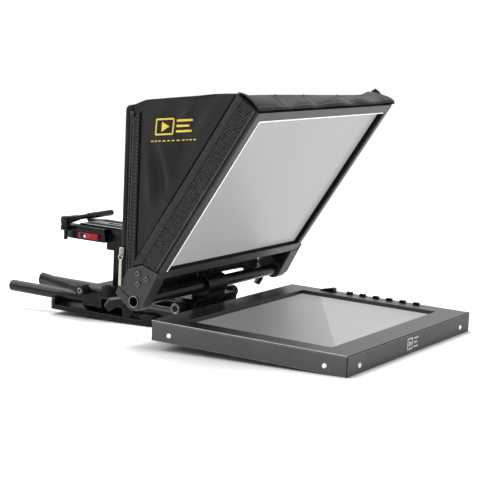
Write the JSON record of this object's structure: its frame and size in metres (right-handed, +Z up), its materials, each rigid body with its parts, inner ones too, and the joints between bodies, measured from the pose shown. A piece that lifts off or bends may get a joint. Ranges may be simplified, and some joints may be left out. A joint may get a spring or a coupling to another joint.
{
  "type": "teleprompter",
  "caption": "Rod-mounted teleprompter: flat monitor, tilting beamsplitter glass with a cloth hood, and a sliding camera platform on a tripod base plate.",
  "frame": {"origin": "axis of the tripod thread at the underside of the base plate", "axes": "+Z up, +Y from the presenter towards the camera, along the rods, +X to the presenter's left"},
  "size_m": [0.3342, 0.5798, 0.3057],
  "materials": {
    "case_steel": "fine textured powder coat",
    "anodised": "black anodised, satin",
    "frame_alloy": "dark grey anodised, satin",
    "rod_alloy": "black anodised, polished",
    "plate_alloy": "satin",
    "mirror_glass": "part-silvered 60/40",
    "clear_glass": "polished",
    "display": "matt polariser",
    "board": "solder mask",
    "black_plastic": "moulded",
    "red_plastic": "moulded",
    "black_rubber": "matt",
    "hood_cloth": "coated woven nylon",
    "hook_band": "woven hook-and-loop band",
    "bright_steel": "bright plated",
    "black_steel": "black oxide"
  },
  "bodies": {
    "base": {"base_plate": "anodised", "rod_screws": "black_steel", "rod_near": "rod_alloy", "rod_far": "rod_alloy", "rod_plugs": "anodised"},
    "front": {"rod_bracket": "anodised", "tube_holder": "anodised", "holder_screws": "black_steel", "hinge_tube": "rod_alloy", "monitor_bar": "anodised", "monitor_tray": "case_steel", "monitor_bezel": "case_steel", "screen_glass": "clear_glass", "lcd_panel": "display", "driver_board": "board", "monitor_inputs": "bright_steel", "case_screws": "bright_steel"},
    "mirror": {"frame_bottom_rail": "frame_alloy", "frame_top_rail": "frame_alloy", "frame_near_stile": "frame_alloy", "frame_far_stile": "frame_alloy", "beamsplitter_glass": "mirror_glass", "glass_gasket": "black_rubber", "glass_retainers": "anodised", "arm_near": "case_steel", "arm_far": "case_steel", "hinge_blocks": "anodised", "arm_screws": "black_steel", "hood_near_side": "hood_cloth", "hood_far_side": "hood_cloth", "hood_top": "hood_cloth", "hood_back": "hood_cloth", "hood_skirt": "hood_cloth", "hood_bands": "hook_band", "zipper_tapes": "hook_band"},
    "riser": {"riser_block": "anodised", "riser_post": "anodised"},
    "riser_lever": {"riser_lever": "black_plastic", "lever_bolt": "black_steel"},
    "platform": {"platform_head": "anodised"},
    "plate": {"camera_plate": "plate_alloy", "plate_pads": "black_rubber"},
    "key_menu": {"key_menu": "black_plastic"},
    "key_plus": {"key_plus": "black_plastic"},
    "key_minus": {"key_minus": "black_plastic"},
    "key_source": {"key_source": "black_plastic"},
    "key_flip": {"key_flip": "black_plastic"},
    "key_auto": {"key_auto": "black_plastic"},
    "power_switch": {"power_switch": "black_plastic"},
    "front_clamp_knob": {"front_clamp_knob": "black_plastic"},
    "tube_clamp_knob": {"tube_clamp_knob": "black_plastic"},
    "zipper_slider": {"zipper_slider": "bright_steel"},
    "zipper_pull": {"zipper_pull": "bright_steel"},
    "thumbscrew_near": {"thumbscrew_near": "black_plastic"},
    "thumbscrew_far": {"thumbscrew_far": "black_plastic"},
    "riser_knob": {"riser_knob": "black_plastic"},
    "height_knob": {"height_knob": "black_plastic"},
    "camera_screw": {"camera_screw": "bright_steel"},
    "plate_lever": {"plate_lever": "black_plastic"},
    "safety_catch": {"safety_catch": "red_plastic"}
  },
  "joints": [
    {"name": "front_slide", "type": "slide", "parent": "base", "child": "front", "axis": [0, -1, 0], "range_m": [0, 0.02]},
    {"name": "mirror_tilt", "type": "hinge", "parent": "front", "child": "mirror", "pos_m": [0, -0.135, 0.058], "axis": [1, 0, 0], "range_deg": [-10, 54]},
    {"name": "riser_slide", "type": "slide", "parent": "base", "child": "riser", "axis": [0, 1, 0], "range_m": [-0.015, 0.04]},
    {"name": "platform_height", "type": "slide", "parent": "riser", "child": "platform", "axis": [0, 0, 1], "range_m": [-0.006, 0.008]},
    {"name": "plate_slide", "type": "slide", "parent": "platform", "child": "plate", "axis": [0, 1, 0], "range_m": [-0.01, 0.02]},
    {"name": "camera_screw_turn", "type": "hinge", "parent": "plate", "child": "camera_screw", "pos_m": [0, -0.014, 0.11], "axis": [0, 0, 1], "continuous": true},
    {"name": "plate_lever_swing", "type": "hinge", "parent": "platform", "child": "plate_lever", "pos_m": [-0.043, 0.066, 0.112], "axis": [0, 0, 1], "range_deg": [0, 100]},
    {"name": "catch_slide", "type": "slide", "parent": "platform", "child": "safety_catch", "axis": [0, 1, 0], "range_m": [-0.006, 0]},
    {"name": "height_knob_turn", "type": "hinge", "parent": "platform", "child": "height_knob", "pos_m": [0.02, 0.01, 0.0871], "axis": [1, 0, 0], "continuous": true},
    {"name": "riser_knob_turn", "type": "hinge", "parent": "riser", "child": "riser_knob", "pos_m": [-0.0424, -0.004, 0.036], "axis": [0, 0, 1], "continuous": true},
    {"name": "riser_lever_swing", "type": "hinge", "parent": "riser", "child": "riser_lever", "pos_m": [-0.0525, 0.028, 0.0335], "axis": [1, 0, 0], "range_deg": [0, 110]},
    {"name": "front_knob_turn", "type": "hinge", "parent": "front", "child": "front_clamp_knob", "pos_m": [-0.055, -0.125, 0.0335], "axis": [1, 0, 0], "continuous": true},
    {"name": "tube_knob_turn", "type": "hinge", "parent": "front", "child": "tube_clamp_knob", "pos_m": [0.055, -0.127, 0.039], "axis": [1, 0, 0], "continuous": true},
    {"name": "thumbscrew_near_turn", "type": "hinge", "parent": "mirror", "child": "thumbscrew_near", "pos_m": [-0.153, -0.11561, 0.05921], "axis": [0, -0.5373, 0.8434], "continuous": true},
    {"name": "thumbscrew_far_turn", "type": "hinge", "parent": "mirror", "child": "thumbscrew_far", "pos_m": [0.153, -0.11561, 0.05921], "axis": [0, -0.5373, 0.8434], "continuous": true},
    {"name": "zipper_slide", "type": "slide", "parent": "mirror", "child": "zipper_slider", "axis": [0, 0, 1], "range_m": [0, 0.155]},
    {"name": "zipper_pull_swing", "type": "hinge", "parent": "zipper_slider", "child": "zipper_pull", "pos_m": [-0.1652, -0.1155, 0.1109], "axis": [0, 1, 0], "range_deg": [0, 135]},
    {"name": "key_menu_press", "type": "slide", "parent": "front", "child": "key_menu", "axis": [0, 0, -1], "range_m": [0, 0.0008], "stiffness_N_per_m": 900, "springref_m": -0.0004},
    {"name": "key_plus_press", "type": "slide", "parent": "front", "child": "key_plus", "axis": [0, 0, -1], "range_m": [0, 0.0008], "stiffness_N_per_m": 900, "springref_m": -0.0004},
    {"name": "key_minus_press", "type": "slide", "parent": "front", "child": "key_minus", "axis": [0, 0, -1], "range_m": [0, 0.0008], "stiffness_N_per_m": 900, "springref_m": -0.0004},
    {"name": "key_source_press", "type": "slide", "parent": "front", "child": "key_source", "axis": [0, 0, -1], "range_m": [0, 0.0008], "stiffness_N_per_m": 900, "springref_m": -0.0004},
    {"name": "key_flip_press", "type": "slide", "parent": "front", "child": "key_flip", "axis": [0, 0, -1], "range_m": [0, 0.0008], "stiffness_N_per_m": 900, "springref_m": -0.0004},
    {"name": "key_auto_press", "type": "slide", "parent": "front", "child": "key_auto", "axis": [0, 0, -1], "range_m": [0, 0.0008], "stiffness_N_per_m": 900, "springref_m": -0.0004},
    {"name": "power_switch_rock", "type": "hinge", "parent": "front", "child": "power_switch", "pos_m": [0.1515, -0.2166, 0.035], "axis": [1, 0, 0], "range_deg": [0, 6]}
  ]
}
